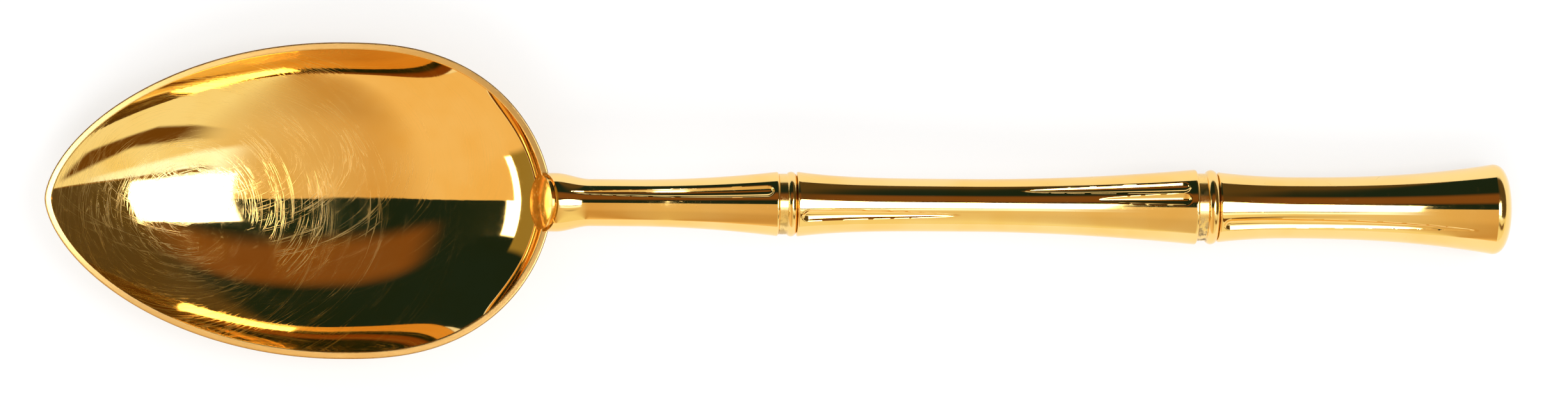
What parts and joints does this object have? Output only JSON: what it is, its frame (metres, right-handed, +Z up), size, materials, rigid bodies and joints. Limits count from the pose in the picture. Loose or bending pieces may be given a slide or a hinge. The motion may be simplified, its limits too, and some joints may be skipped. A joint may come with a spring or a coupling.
{
  "type": "teaspoon",
  "caption": "Teaspoon with an egg-shaped bowl and a round bamboo-shaped handle, polished gold finish, for stirring and serving.",
  "frame": {"origin": "on the table, under the middle of the spoon's length and width", "axes": "+X from the bowl's tip to the handle's butt, +Z up out of the bowl"},
  "size_m": [0.1499, 0.0322, 0.0129],
  "materials": {
    "bowl_gold": "gold plated, mirror polished, finely scratched",
    "handle_gold": "gold plated, mirror polished",
    "ring_gold": "gold plated, polished, dark residue in the grooves",
    "rod_gold": "gold plated, polished"
  },
  "bodies": {
    "root": {"bowl": "bowl_gold", "tang_rod": "rod_gold", "neck_internode": "handle_gold", "first_node_ring": "ring_gold", "middle_internode": "handle_gold", "second_node_ring": "ring_gold", "grip_internode": "handle_gold", "butt_cap": "ring_gold"}
  },
  "joints": []
}
